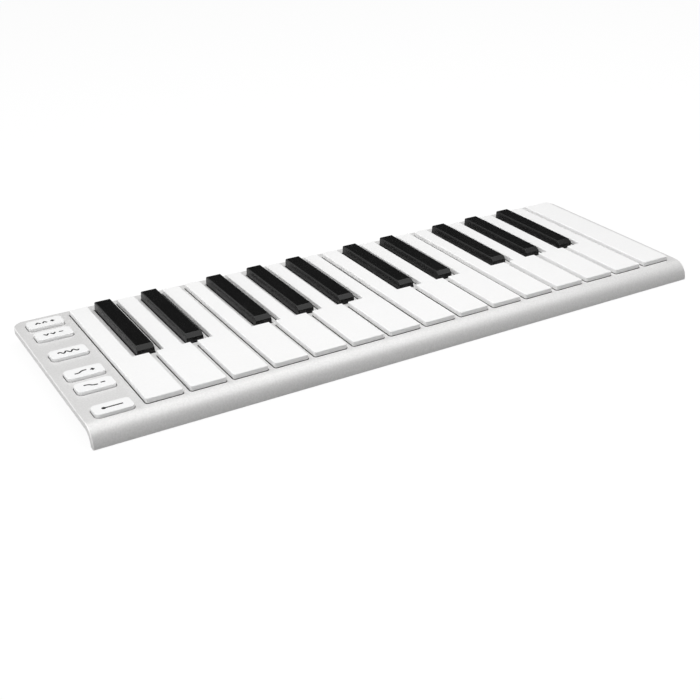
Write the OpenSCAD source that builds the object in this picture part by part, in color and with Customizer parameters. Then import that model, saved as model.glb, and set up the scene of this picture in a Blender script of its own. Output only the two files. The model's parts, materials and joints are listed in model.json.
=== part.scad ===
// A slim desktop keyboard controller with 25 full-size piano keys and six buttons.
// One thick aluminium plate, bent down in a round nose at the front, carries a window
// for every key and button. The keys are moulded shells that turn on one steel rod.
// X runs to the right, Y to the rear and Z up from the desk, in millimetres.

/* [Top plate] */
// Plate to the right of the last key window
right_margin = 6.2; // [6:0.1:12]
// Outer radius of the bent nose
nose_radius = 10; // [9:0.1:11]
// Flat stretch between the nose and the key windows
nose_flat = 0.4; // [0.2:0.1:3]
// Length of the key windows
window_length = 118.1; // [110:0.1:130]
// Plate behind the key windows
rear_margin = 4.8; // [4.5:0.1:10]
// Thickness of the plate
plate_thickness = 3.6; // [3:0.1:4.2]
// Radius of the plate's rear corners
corner_radius = 7; // [3:0.5:10]
// Radius of the window corners
window_radius = 1.6; // [1.2:0.1:2]
// Height of the nose's lower edge above the desk
lip_lift = 0.45; // [0.3:0.05:1]

/* [Keys] */
// Spacing of the white keys
white_pitch = 23.6; // [23.2:0.1:24]
// Aluminium left between two windows
web = 2.8; // [2.7:0.1:3.6]
// Gap around a white key in its window
white_gap = 0.5; // [0.4:0.05:0.6]
// Height of the white keys above the plate
white_rise = 2.8; // [2.5:0.1:3.5]
// Front travel of a white key
white_travel = 2.4; // [2:0.1:2.6]
// Length of the wide front part of a white key's window
head_length = 46.15; // [40:0.05:50]
// Radius of the white keys' top edges
edge_radius = 0.6; // [0.2:0.1:1]
// Width of a black key's window
black_slot = 10.9; // [9.8:0.1:11.2]
// Gap around a black key in its window
black_gap = 0.4; // [0.35:0.05:0.6]
// Height of the black keys above the plate
black_rise = 5; // [4:0.1:6]
// Front travel of a black key
black_travel = 2.2; // [2:0.1:2.4]
// Plate between a black key's window and the white notch in front of it
front_web = 2.8; // [2.5:0.1:4]
// How much earlier the black windows end at the rear
black_rear_inset = 1.6; // [0:0.1:2]
// Width of the flat on top of a black key
black_top_width = 8.9; // [7:0.1:9.2]
// Draft of a black key's side up to its bevel
black_draft = 0.2; // [0.1:0.1:0.6]
// Height of the bevel along a black key's sides
black_bevel = 0.5; // [0.4:0.1:1.4]
// Length of the slope at a black key's front
black_slope = 2.6; // [2:0.1:5]
// Drop of that slope
black_slope_drop = 1.9; // [1:0.1:2]
// Wall thickness of the moulded keys
key_wall = 1.4; // [1.2:0.1:1.8]
// Thickness of the keys' top skin
key_skin = 1.8; // [1.5:0.1:2.2]

/* [Keybed] */
// Radius of the steel rod that the keys turn on
rod_radius = 1; // [0.8:0.05:1.2]
// Clearance of a bore round the rod, on the radius
bore_clearance = 0.05; // [0.03:0.01:0.08]
// Wall of a key's barrel round its bore
barrel_wall = 1.05; // [0.9:0.05:1.2]
// Air above and below the barrels
barrel_air = 0.25; // [0.2:0.05:0.5]
// Rear end of the key windows to the rod
rod_inset = 4.8; // [4.6:0.1:6]
// Thickness of the rail's base
rail_thickness = 0.9; // [0.7:0.1:1.2]
// Reach of the rail in front of the rod
rail_reach = 9; // [8:0.5:11]
// Reach of the spring fingers in front of the rod
spring_reach = 20; // [17:0.5:23]
// Thickness of the spring steel
spring_thickness = 0.25; // [0.2:0.05:0.4]
// Width of a spring finger
finger_width = 3; // [2:0.1:4]
// Thickness of the felt that the keys rise against
felt_thickness = 0.4; // [0.3:0.05:0.6]
// Depth of a key's stop tab below the felt
tab_depth = 1.5; // [1.2:0.1:1.6]
// Reach of a stop tab in front of its key
tab_reach = 1.4; // [1.2:0.1:1.8]
// Air left under a key at rest and at full press
stop_air = 0.08; // [0.05:0.01:0.1]

/* [Under-body] */
// Height of the under-body above the desk
tray_lift = 0.6; // [0.5:0.1:1]
// Thickness of the under-body's floor
floor_thickness = 1.2; // [1:0.1:1.5]
// Thickness of the under-body's walls
tray_wall = 1; // [0.8:0.1:1.2]
// Inset of the under-body from the plate's ends
tray_inset = 3.35; // [3:0.05:3.6]
// Inset of the under-body from the plate's rear
tray_rear_inset = 1; // [0.5:0.1:1.5]
// Clearance between the under-body and the nose's lip
lip_clearance = 0.4; // [0.3:0.1:1]
// Radius of a rubber foot
foot_radius = 6; // [4:0.5:8]
// Depth of the recess that holds a foot
foot_recess = 0.4; // [0.3:0.1:0.6]
// Distance of the feet from the plate's ends
foot_inset_x = 30; // [20:1:40]
// Distance of the feet from the plate's front and rear
foot_inset_y = 16; // [14:0.5:20]
// Radius of a case screw
screw_radius = 1; // [0.8:0.1:1.1]
// Radius of a screw pillar in the control panel
pillar_radius = 2.2; // [2:0.1:2.6]

/* [Boards] */
// Thickness of the circuit boards
board_thickness = 1; // [0.8:0.1:1.2]
// Height of the boards above the floor
board_lift = 0.8; // [0.5:0.1:1]
// Thickness of a pressure pad
pad_thickness = 0.4; // [0.3:0.05:0.5]
// Length of a pressure pad
pad_length = 9; // [6:0.5:12]
// Radius of a board screw
board_screw_radius = 0.7; // [0.5:0.1:0.9]
// Width of the USB socket
usb_width = 7.5; // [7:0.1:8]
// Height of the USB socket
usb_height = 2.5; // [2.3:0.1:2.6]
// Depth of the USB socket
usb_depth = 5.4; // [5:0.1:6]

/* [Buttons] */
// Width of a button
button_width = 20.1; // [18:0.1:21]
// Depth of a button
button_depth = 10.05; // [9:0.05:11]
// Corner radius of a button
button_radius = 2.4; // [1.5:0.1:3]
// Height of a button above the plate
button_rise = 1.85; // [1.5:0.05:2.5]
// Gap around a button in its window
button_gap = 0.4; // [0.3:0.05:0.6]
// Spacing of the two buttons of a pair
pair_pitch = 15.75; // [14.5:0.05:17]
// Front end of the key windows to the middle of the front button
button_front_inset = 4.2; // [4:0.1:8]
// Rear end of the key windows to the middle of the rear button
button_rear_inset = 6.5; // [6.5:0.1:10]
// Width of the rim that keeps a button under the plate
rim_width = 0.9; // [0.7:0.1:1]
// Thickness of that rim
rim_thickness = 1; // [0.8:0.1:1.1]
// Air between that rim and the rod's head beside it
rim_air = 0.7; // [0.1:0.05:4]
// Radius of a button's top edges
button_edge = 0.4; // [0.2:0.05:0.6]
// Height of a silicone dome
dome_height = 1.8; // [1.5:0.1:1.9]

/* [Hidden] */
$fn = 48;
cut = 1;
slip = 0.05;

// Counts of the keyboard: two octaves and the closing C
octaves = 2;
white_count = 7 * octaves + 1;
note_letters = ["c", "d", "e", "f", "g", "a", "b"];
sharp_steps = [0, 1, 3, 4, 5];
sharps = [for (o = [0 : octaves - 1], s = sharp_steps) 7 * o + s];
whites = [for (i = [0 : white_count - 1]) i];

// Heights, from the desk up
z_floor = tray_lift + floor_thickness;
barrel_radius = rod_radius + bore_clearance + barrel_wall;
z_rail = z_floor + rail_thickness;
z_rod = z_rail + barrel_air + barrel_radius;
z_under = z_rod + barrel_radius + barrel_air;
z_plate = z_under + plate_thickness;
z_white = z_plate + white_rise;
z_black = z_plate + black_rise;
z_tab = z_under - felt_thickness - stop_air;
z_skirt = z_tab - tab_depth;
black_skirt = 0.75;
z_black_skirt = z_skirt + black_skirt;
z_board = z_floor + board_lift;
z_board_top = z_board + board_thickness;
z_pad = z_board_top + pad_thickness;
z_rim = z_under - slip;
z_dome = z_board_top + dome_height;
usb_shell = 0.3;
z_usb = z_board + usb_shell;

// Places along X
window_width = white_pitch - web;
end_clearance = 0.3;
rod_head = 0.4;
button_reach = button_width / 2 + button_gap + rim_width;
button_inset = tray_inset + tray_wall + end_clearance + button_reach;
panel_width = button_inset + button_reach + rim_air + rod_head + slip + web;
width = panel_width + white_count * white_pitch - web + right_margin;
x_left = -width / 2;
x_right = width / 2;
x_first = x_left + panel_width;
x_last = x_right - right_margin;
x_button = x_left + button_inset;
end_ear = right_margin - tray_inset - tray_wall - end_clearance;

// Places along Y
depth = nose_radius + nose_flat + window_length + rear_margin;
y_front = -depth / 2;
y_rear = depth / 2;
y_bend = y_front + nose_radius;
y_window = y_bend + nose_flat;
y_window_end = y_window + window_length;
y_slot = y_window + head_length + front_web;
y_slot_end = y_window_end - black_rear_inset;
y_rod = y_window_end - rod_inset;
y_rail = y_rod - rail_reach;
y_spring = y_rod - spring_reach;
y_tray = y_front + plate_thickness + lip_clearance;
y_tray_end = y_rear - tray_rear_inset;
rail_tail = 5.5;

// Sensor board between the black keys' front felt and the spring fingers
board_air = 6;
y_board = y_slot + board_air;
y_board_end = y_spring - board_air;
y_sensor = (y_board + y_board_end) / 2;
pad_half = black_slot / 2 - key_wall;

// Key levers and the drop of a key at a distance from the rod
white_lever = y_rod - y_window - white_gap;
black_lever = y_rod - y_slot - black_gap;
function white_drop(y) = white_travel * (y_rod - y) / white_lever;
function black_drop(y) = black_travel * (y_rod - y) / black_lever;

// Buttons from front to rear: one, a pair, one, a pair
button_names = ["sustain_button", "pitch_down_button", "pitch_up_button",
                "modulation_button", "octave_down_button", "octave_up_button"];
button_span = window_length - button_front_inset - button_rear_inset;
group_pitch = (button_span - 2 * pair_pitch) / 3;
y_button_front = y_window + button_front_inset;
button_offsets = [0, group_pitch, group_pitch + pair_pitch, 2 * group_pitch + pair_pitch,
                  3 * group_pitch + pair_pitch, 3 * group_pitch + 2 * pair_pitch];
y_buttons = [for (o = button_offsets) y_button_front + o];
y_wide_gaps = [for (g = [0, 2, 3]) (y_buttons[g] + y_buttons[g + 1]) / 2];
pillar_gaps = [y_wide_gaps[0], y_wide_gaps[2]];

// Window places of the white keys: the narrow tails share each group's width evenly
function note_step(i) = i % 7;
function is_closing(i) = i == white_count - 1;
function group_size(i) = note_step(i) < 3 ? 3 : 4;
function group_place(i) = note_step(i) < 3 ? note_step(i) : note_step(i) - 3;
function head_x(i) = x_first + i * white_pitch;
function group_x(i) = head_x(i - group_place(i));
function shared_width(n) = (n * white_pitch - web - (n - 1) * (black_slot + 2 * web)) / n;
function tail_width(i) = is_closing(i) ? window_width : shared_width(group_size(i));
function tail_x(i) = group_x(i) + group_place(i) * (tail_width(i) + black_slot + 2 * web);
function slot_x(i) = tail_x(i) + tail_width(i) + web;

// Middles of the webs beside the black windows and between the white heads
function slot_web(i) = slot_x(i) - web / 2;
function head_web(i) = head_x(i) - web / 2;

// Names of the keys
function octave_number(i) = floor(i / 7) + 1;
function white_name(i) = str("key_", note_letters[note_step(i)], octave_number(i));
function black_name(i) = str("key_", note_letters[note_step(i)], "_sharp", octave_number(i));

// Left faces of the rail's ears, one in every gap between two keys
plain_gaps = [for (i = [0 : white_count - 2]) if (note_step(i) == 2 || note_step(i) == 6) i];
ear_places = concat([x_first - web],
                    [for (i = sharps) slot_x(i) - web],
                    [for (i = sharps) slot_x(i) + black_slot],
                    [for (i = plain_gaps) tail_x(i) + tail_width(i)]);

// Middles of all keys along the rod
key_middles = concat([for (i = whites) tail_x(i) + tail_width(i) / 2],
                     [for (i = sharps) slot_x(i) + black_slot / 2]);

// Fasteners
head_webs = [for (i = [2 : 3 : white_count - 1]) head_web(i)];
rear_webs = [for (n = [1 : 2 : len(sharps) - 1]) slot_web(sharps[n])];
y_front_screws = y_window + head_length / 2;
y_rear_screws = (y_rail + y_spring) / 2;
case_places = concat([for (x = head_webs) [x, y_front_screws]],
                     [for (x = rear_webs) [x, y_rear_screws]],
                     [for (y = pillar_gaps) [x_button, y]]);
screw_flange = 0.9;
screw_head_radius = screw_radius + screw_flange;
screw_head_height = 0.8;
screw_bite = 2.4;
rivet_head_radius = 1.6;
rivet_head_height = 0.5;
y_rivets = (y_rail + y_rod - barrel_radius) / 2;
rivet_places = [for (n = [0 : 2 : len(sharps) - 1]) [slot_web(sharps[n]), y_rivets]];
board_screw_flange = 0.7;
board_head_radius = board_screw_radius + board_screw_flange;
board_head_height = 0.6;
board_edge = 4;
sensor_rows = [y_board + board_edge, y_board_end - board_edge];
sensor_screws = [for (n = [0 : 3 : len(sharps) - 1], y = sensor_rows) [slot_web(sharps[n]), y]];
z_board_screw = tray_lift + floor_thickness / 2;
button_board_air = 2;
button_board_gap = 4.5;
x_button_board = x_left + tray_inset + tray_wall + end_clearance;
x_button_board_end = x_first - button_board_gap;
x_chip = (x_button_board + x_button_board_end) / 2;
button_screw_inset = 3.5;
button_columns = [x_button_board + button_screw_inset, x_button_board_end - button_screw_inset];
button_screws = [for (x = button_columns, y = y_wide_gaps) [x, y]];

// The feet, under the four corners and the middle of the long sides
feet_x = [x_left + foot_inset_x, 0, x_right - foot_inset_x];
feet_y = [y_front + foot_inset_y, y_rear - foot_inset_y];

// Rectangle with round corners, made of squares and circles so that its arcs are true
module round_rect(x, y, w, l, r) {
  translate([x + r, y]) square([w - 2 * r, l]);
  translate([x, y + r]) square([w, l - 2 * r]);
  for (cx = [x + r, x + w - r], cy = [y + r, y + l - r])
    translate([cx, cy]) circle(r);
}

// Side view with round upper corners
module round_top(l, bottom, top, r) {
  translate([0, bottom]) square([l, top - r - bottom]);
  translate([r, bottom]) square([l - 2 * r, top - bottom]);
  for (c = [r, l - r])
    translate([c, top - r]) circle(r);
}

// Extrusions of a drawing along X or along Y
module along_x(x, l) {
  translate([x, 0, 0]) rotate([90, 0, 90]) linear_extrude(l) children();
}

module along_y(y, l) {
  translate([0, y + l, 0]) rotate([90, 0, 0]) linear_extrude(l) children();
}

// Cylinder along X on the rod's axis
module on_rod(x, l, r) {
  translate([x, y_rod, z_rod]) rotate([0, 90, 0]) cylinder(h = l, r = r);
}

// Box between two corners
module span(from, to) {
  translate(from) cube(to - from);
}

// Upright cylinder between two heights
module post(p, bottom, top, r) {
  translate([p[0], p[1], bottom]) cylinder(h = top - bottom, r = r);
}

// Window of a white key: the wide head and the narrow tail
module white_window(i) {
  y_tail = y_window + head_length - 4 * window_radius;
  round_rect(head_x(i), y_window, window_width, head_length, window_radius);
  round_rect(tail_x(i), y_tail, tail_width(i), y_window_end - y_tail, window_radius);
}

// Block with round upright corners and round top edges
module key_block(x, y, w, l, bottom, top) {
  intersection() {
    translate([0, 0, bottom]) linear_extrude(top - bottom)
      round_rect(x, y, w, l, window_radius - white_gap);
    along_y(y, l) translate([x, 0]) round_top(w, bottom, top, edge_radius);
    along_x(x, w) translate([y, 0]) round_top(l, bottom, top, edge_radius);
  }
}

// Section of what a notch takes from a white key, left of x, with the new top edge rounded
module notch_section(x) {
  translate([x - window_width, z_rail]) square([window_width, z_white + cut - z_rail]);
  difference() {
    translate([x - cut, z_white - edge_radius]) square([edge_radius + cut, edge_radius + cut]);
    translate([x + edge_radius, z_white - edge_radius]) circle(edge_radius);
  }
}

// Cross rib inside a key
module key_rib(x, w, y, bottom, top) {
  rib = 1.6;
  span([x, y - rib / 2, bottom], [x + w, y + rib / 2, top]);
}

module white_key(i) {
  w = window_width - 2 * white_gap;
  x = head_x(i) + white_gap;
  tail_w = tail_width(i) - 2 * white_gap;
  x_tail = tail_x(i) + white_gap;
  y_key = y_window + white_gap;
  l = window_length - 2 * white_gap;
  y_shoulder = y_window + head_length - white_gap;
  y_block = y_rod - 2 * barrel_radius;
  z_roof = z_white - key_skin;
  rib_x = x_tail + key_wall / 2;
  rib_w = tail_w - key_wall;
  left_notch = x_tail - x > slip;
  right_notch = x + w - x_tail - tail_w > slip;
  color("white") {
    difference() {
      union() {
        difference() {
          key_block(x, y_key, w, l, z_skirt, z_white);
          if (left_notch)
            along_y(y_shoulder, l) notch_section(x_tail);
          if (right_notch)
            along_y(y_shoulder, l) translate([x_tail + tail_w, 0]) mirror([1, 0]) notch_section(0);
        }
        span([x + key_wall, y_key - tab_reach, z_skirt], [x + w - key_wall, y_key + key_wall, z_tab]);
        on_rod(x_tail, tail_w, barrel_radius);
      }
      // hollow underside, which leaves a wall all round and a block at the rod
      difference() {
        span([x + key_wall, y_key + key_wall, z_skirt - cut], [x + w - key_wall, y_block, z_roof]);
        if (left_notch)
          span([x, y_shoulder - key_wall, z_rail], [x_tail + key_wall, y_rear, z_white]);
        if (right_notch)
          span([x_tail + tail_w - key_wall, y_shoulder - key_wall, z_rail], [x + w, y_rear, z_white]);
      }
      on_rod(x_tail - cut, tail_w + 2 * cut, rod_radius + bore_clearance);
    }
    key_rib(rib_x, rib_w, y_sensor, z_pad + white_drop(y_sensor) + stop_air, z_roof + slip);
    key_rib(rib_x, rib_w, y_spring, z_skirt, z_roof + slip);
  }
}

module black_key(i) {
  w = black_slot - 2 * black_gap;
  x = slot_x(i) + black_gap;
  y_key = y_slot + black_gap;
  l = y_slot_end - black_gap - y_key;
  y_block = y_rod - 2 * barrel_radius;
  top_in = (w - black_top_width) / 2;
  z_roof = z_black - key_skin - black_bevel;
  z_bevel = z_black - black_bevel;
  rib_x = x + key_wall / 2;
  rib_w = w - key_wall;
  color("#1c1c1c") {
    difference() {
      union() {
        intersection() {
          along_y(y_key, l) translate([x, 0])
            polygon([[0, z_black_skirt], [0, z_plate], [black_draft, z_bevel], [top_in, z_black],
                     [w - top_in, z_black], [w - black_draft, z_bevel], [w, z_plate], [w, z_black_skirt]]);
          along_x(x, w) translate([y_key, 0])
            polygon([[0, z_black_skirt], [0, z_black - black_slope_drop], [black_slope, z_black],
                     [l, z_black], [l, z_black_skirt]]);
        }
        span([x + key_wall, y_key - tab_reach, z_skirt], [x + w - key_wall, y_key + key_wall, z_tab]);
        on_rod(x, w, barrel_radius);
      }
      span([x + key_wall, y_key + key_wall, z_skirt - cut], [x + w - key_wall, y_block, z_roof]);
      on_rod(x - cut, w + 2 * cut, rod_radius + bore_clearance);
    }
    key_rib(rib_x, rib_w, y_sensor, z_pad + black_drop(y_sensor) + stop_air, z_roof + slip);
    key_rib(rib_x, rib_w, y_spring, z_skirt, z_roof + slip);
  }
}

// Section through the plate and its bent nose, seen from the right
module shell_section() {
  intersection() {
    union() {
      translate([y_bend, z_under]) square([y_rear - y_bend, plate_thickness]);
      intersection() {
        difference() {
          translate([y_bend, z_plate - nose_radius]) circle(nose_radius);
          translate([y_bend, z_plate - nose_radius]) circle(nose_radius - plate_thickness);
        }
        translate([y_front, z_plate - nose_radius]) square([nose_radius, nose_radius]);
      }
      translate([y_front, 0]) square([plate_thickness, z_plate - nose_radius]);
    }
    translate([y_front, lip_lift]) square([depth, z_plate]);
  }
}

// Outline from above, between two corners, with round rear corners
module round_rear(x0, x1, y0, y1, r) {
  translate([x0, y0]) square([x1 - x0, y1 - r - y0]);
  translate([x0 + r, y0]) square([x1 - x0 - 2 * r, y1 - y0]);
  for (x = [x0 + r, x1 - r])
    translate([x, y1 - r]) circle(r);
}

module button_plan(y, grow) {
  round_rect(x_button - button_width / 2 - grow, y - button_depth / 2 - grow,
             button_width + 2 * grow, button_depth + 2 * grow, button_radius + grow);
}

module top_shell() {
  color("silver")
  difference() {
    intersection() {
      along_x(x_left, width) shell_section();
      linear_extrude(z_plate + cut) round_rear(x_left, x_right, y_front, y_rear, corner_radius);
    }
    translate([0, 0, z_under - cut]) linear_extrude(plate_thickness + 2 * cut) {
      for (i = whites) white_window(i);
      for (i = sharps) round_rect(slot_x(i), y_slot, black_slot, y_slot_end - y_slot, black_gap);
      for (y = y_buttons) button_plan(y, button_gap);
    }
    for (p = case_places)
      post(p, z_under - cut, z_under + screw_bite + slip, screw_radius + slip);
  }
}

module bottom_tray() {
  x0 = x_left + tray_inset;
  x1 = x_right - tray_inset;
  board_places = concat(sensor_screws, button_screws);
  usb_half = usb_width / 2 + slip;
  color("dimgray")
  difference() {
    union() {
      translate([0, 0, tray_lift]) linear_extrude(floor_thickness)
        round_rear(x0, x1, y_tray, y_tray_end, 2 * tray_wall);
      // side and rear walls up to the plate, and a low front wall behind the nose
      translate([0, 0, tray_lift]) linear_extrude(z_under - tray_lift)
        difference() {
          round_rear(x0, x1, y_window, y_tray_end, 2 * tray_wall);
          round_rear(x0 + tray_wall, x1 - tray_wall, y_window - cut, y_tray_end - tray_wall, tray_wall);
        }
      span([x0, y_tray, tray_lift], [x1, y_tray + tray_wall, z_floor + tray_wall]);
      // the side walls run on forwards inside the bend of the nose and close its ends
      for (x = [x0, x1 - tray_wall])
        along_x(x, tray_wall)
          intersection() {
            translate([y_bend, z_plate - nose_radius]) circle(nose_radius - plate_thickness - slip);
            translate([y_tray, tray_lift]) square([y_window + tray_wall - y_tray, z_under - tray_lift]);
          }
      for (p = case_places)
        post(p, tray_lift, z_under, p[0] == x_button ? pillar_radius : web / 2);
      for (p = board_places)
        post(p, tray_lift, z_board, board_head_radius);
    }
    for (p = case_places) {
      post(p, tray_lift - cut, z_plate, screw_radius + slip);
      post(p, tray_lift - cut, tray_lift + screw_head_height + slip, screw_head_radius + slip);
    }
    for (p = rivet_places) {
      post(p, tray_lift - cut, z_floor + cut, screw_radius + slip);
      post(p, tray_lift - cut, tray_lift + rivet_head_height + slip, rivet_head_radius + slip);
    }
    for (p = board_places)
      post(p, z_board_screw - slip, z_under, board_screw_radius + slip);
    for (x = feet_x, y = feet_y)
      post([x, y], tray_lift - cut, tray_lift + foot_recess, foot_radius + slip);
    span([x_button - usb_half, y_tray_end - tray_wall - cut, z_usb - slip],
         [x_button + usb_half, y_tray_end + cut, z_usb + usb_height + slip]);
  }
}

module rubber_feet() {
  color("#2b2b2b")
  for (x = feet_x, y = feet_y)
    post([x, y], 0, tray_lift + foot_recess, foot_radius);
}

module case_screws() {
  color("gray")
  for (p = case_places) {
    post(p, tray_lift, tray_lift + screw_head_height, screw_head_radius);
    post(p, tray_lift, z_under + screw_bite, screw_radius);
  }
}

module board_screws() {
  color("gray")
  for (p = concat(sensor_screws, button_screws)) {
    post(p, z_board_top, z_board_top + board_head_height, board_head_radius);
    post(p, z_board_screw, z_board_top + board_head_height, board_screw_radius);
  }
}

module rail_rivets() {
  z_strip = z_rail + spring_thickness;
  color("gray")
  for (p = rivet_places) {
    post(p, tray_lift, tray_lift + rivet_head_height, rivet_head_radius);
    post(p, tray_lift, z_strip + rivet_head_height, screw_radius);
    post(p, z_strip, z_strip + rivet_head_height, rivet_head_radius);
  }
}

// Rail ear: an upright with a round top and a bore for the rod
module rail_ear(x, w) {
  span([x, y_rod - barrel_radius, z_floor], [x + w, y_rod + barrel_radius, z_rod]);
  on_rod(x, w, barrel_radius);
}

module key_rail() {
  x0 = x_first - web;
  x1 = x_last + end_ear;
  color("black")
  difference() {
    union() {
      span([x0, y_rail, z_floor], [x1, y_rod + rail_tail, z_rail]);
      for (x = ear_places) rail_ear(x, web);
      rail_ear(x_last, end_ear);
    }
    on_rod(x0 - cut, x1 - x0 + 2 * cut, rod_radius + bore_clearance);
    for (p = rivet_places)
      post(p, z_floor - cut, z_rail + cut, screw_radius + slip);
  }
}

module pivot_rod() {
  rod_flange = 0.7;
  x0 = x_first - web - slip;
  color("lightgray") {
    on_rod(x0, x_last + end_ear - x0, rod_radius);
    on_rod(x0 - rod_head, rod_head, rod_radius + rod_flange);
  }
}

// Spring comb: a strip on the rail with a bent finger under every key
module return_springs() {
  strip = rail_reach - barrel_radius - barrel_air;
  rise = z_skirt - slip - z_rail;
  reach = y_spring - y_rail;
  tip = 2;
  t = spring_thickness;
  color("slategray")
  difference() {
    union() {
      span([x_first, y_rail, z_rail], [x_last, y_rail + strip, z_rail + t]);
      for (x = key_middles)
        along_x(x - finger_width / 2, finger_width) translate([y_rail, z_rail])
          polygon([[strip, 0], [strip, t], [0, t], [reach, rise], [reach - tip, rise - t],
                   [reach - tip, rise - 2 * t], [reach, rise - t], [0, 0]]);
    }
    for (p = rivet_places)
      post(p, z_rail - cut, z_rail + t + cut, screw_radius + slip);
  }
}

// Felt under the plate, in front of every key's stop tab
module up_stop_felt() {
  z0 = z_under - felt_thickness;
  color("firebrick")
  difference() {
    union() {
      span([x_first, y_window - tab_reach, z0], [x_last, y_window - slip, z_under]);
      for (i = sharps)
        span([slot_x(i), y_slot - tab_reach, z0], [slot_x(i) + black_slot, y_slot - slip, z_under]);
    }
    along_x(x_left, width) shell_section();
  }
}

// Felt on the floor, under the front of the keys
module down_stop_felt() {
  white_y = y_window + white_gap - tab_reach;
  black_y = y_slot + black_gap - tab_reach;
  strip = tab_reach + 2 * key_wall;
  white_top = z_skirt - white_drop(white_y) - stop_air;
  black_top = z_skirt - black_drop(black_y) - stop_air;
  black_end = slot_x(sharps[len(sharps) - 1]) + black_slot;
  color("firebrick") {
    span([x_first, white_y, z_floor], [x_last, white_y + strip, white_top]);
    span([slot_x(sharps[0]), black_y, z_floor], [black_end, black_y + strip, black_top]);
  }
}

module sensor_board() {
  color("darkgreen")
  difference() {
    span([x_first, y_board, z_board], [x_last - white_gap, y_board_end, z_board_top]);
    for (p = sensor_screws)
      post(p, z_board - cut, z_board_top + cut, board_screw_radius + slip);
  }
}

module sensor_pads() {
  y0 = y_sensor - pad_length / 2;
  color("dimgray")
  for (x = key_middles)
    span([x - pad_half, y0, z_board_top], [x + pad_half, y0 + pad_length, z_pad]);
}

module button_board() {
  notch = usb_width / 2 + end_clearance;
  y_notch = y_tray_end - usb_depth - end_clearance;
  y0 = y_tray + tray_wall + button_board_air;
  y1 = y_tray_end - tray_wall - 2 * end_clearance;
  color("darkgreen")
  difference() {
    span([x_button_board, y0, z_board], [x_button_board_end, y1, z_board_top]);
    for (y = pillar_gaps)
      post([x_button, y], z_board - cut, z_board_top + cut, pillar_radius + end_clearance);
    for (p = button_screws)
      post(p, z_board - cut, z_board_top + cut, board_screw_radius + slip);
    span([x_button - notch, y_notch, z_board - cut], [x_button + notch, y_rear, z_board_top + cut]);
  }
}

// USB socket: a folded steel shell, open to the rear, with a soldering tab on each side
module usb_socket() {
  tab = 1.4;
  y_back = y_tray_end - usb_depth;
  half = usb_width / 2;
  inner = half - usb_shell;
  color("lightgray") {
    difference() {
      span([x_button - half, y_back, z_usb], [x_button + half, y_tray_end, z_usb + usb_height]);
      span([x_button - inner, y_back + 2 * usb_shell, z_usb + usb_shell],
           [x_button + inner, y_tray_end + cut, z_usb + usb_height - usb_shell]);
    }
    for (x = [x_button - half - tab, x_button + half - slip])
      translate([x, y_back + usb_shell, z_board_top]) cube([tab + slip, tab, usb_shell]);
  }
}

module usb_tongue() {
  tongue_inset = 1;
  tongue = [usb_width / 2, usb_depth - 2 * usb_shell - tongue_inset, usb_height / 4];
  color("black")
  translate([x_button - tongue[0] / 2, y_tray_end - usb_depth + 2 * usb_shell, z_usb + usb_height / 2])
    cube(tongue);
}

module controller_chips() {
  chip = 8;
  small_chip = 3;
  chip_height = 1;
  chip_air = 1;
  color("#202020") {
    translate([x_chip - chip / 2, y_wide_gaps[1] - chip / 2, z_board_top])
      cube([chip, chip, chip_height]);
    translate([x_button - small_chip / 2, y_wide_gaps[2] + pillar_radius + chip_air, z_board_top])
      cube([small_chip, small_chip, chip_height]);
  }
}

// Flat cable from the button board to the sensor board, level with the fourth button
module ribbon_cable() {
  cable_width = 6;
  cable_thickness = 0.2;
  lap = 2.4;
  y0 = y_buttons[3] - cable_width / 2;
  x_end = key_middles[0] - pad_half - end_clearance;
  color("gainsboro")
  span([x_button_board_end - lap, y0, z_board_top],
       [x_end, y0 + cable_width, z_board_top + cable_thickness]);
}

module button_domes() {
  dome_foot = 3.4;
  dome_crown = 2;
  color("lightgray")
  for (y = y_buttons)
    translate([x_button, y, z_board_top]) cylinder(h = dome_height, r1 = dome_foot, r2 = dome_crown);
}

// Block with a button's outline and a round top edge: two crossed bars and four turned corners
module button_cap(y, bottom, top) {
  r = button_radius;
  x0 = x_button - button_width / 2;
  y0 = y - button_depth / 2;
  along_y(y0 + r, button_depth - 2 * r) translate([x0, 0])
    round_top(button_width, bottom, top, button_edge);
  along_x(x0 + r, button_width - 2 * r) translate([y0, 0])
    round_top(button_depth, bottom, top, button_edge);
  for (cx = [x0 + r, x0 + button_width - r], cy = [y0 + r, y0 + button_depth - r])
    translate([cx, cy, 0]) rotate_extrude()
      intersection() {
        translate([-r, 0]) round_top(2 * r, bottom, top, button_edge);
        square([r, top]);
      }
}

// Button: a hollow cap with a rim under the plate and a stem over its dome
module push_button(y) {
  stem_radius = 1.6;
  cap_wall = 1.4;
  z0 = z_rim - rim_thickness;
  color("white") {
    difference() {
      union() {
        button_cap(y, z0, z_plate + button_rise);
        // the rim's top keeps clear of the plate, also where the nose curves down
        difference() {
          translate([0, 0, z0]) linear_extrude(z_under - z0) button_plan(y, button_gap + rim_width);
          translate([0, 0, z_rim - z_under]) along_x(x_left, width) shell_section();
        }
      }
      translate([0, 0, z0 - cut]) linear_extrude(z_plate - z0 + cut) button_plan(y, -cap_wall);
    }
    post([x_button, y], z_dome + slip, z_plate + slip, stem_radius);
  }
}

fixed_nodes = ["top_shell", "bottom_tray", "key_rail", "pivot_rod", "return_springs", "up_stop_felt",
               "down_stop_felt", "sensor_board", "sensor_pads", "button_board", "button_domes",
               "controller_chips", "ribbon_cable", "usb_socket", "usb_tongue", "rubber_feet",
               "case_screws", "board_screws", "rail_rivets"];
white_names = [for (i = whites) white_name(i)];
black_names = [for (i = sharps) black_name(i)];

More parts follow.
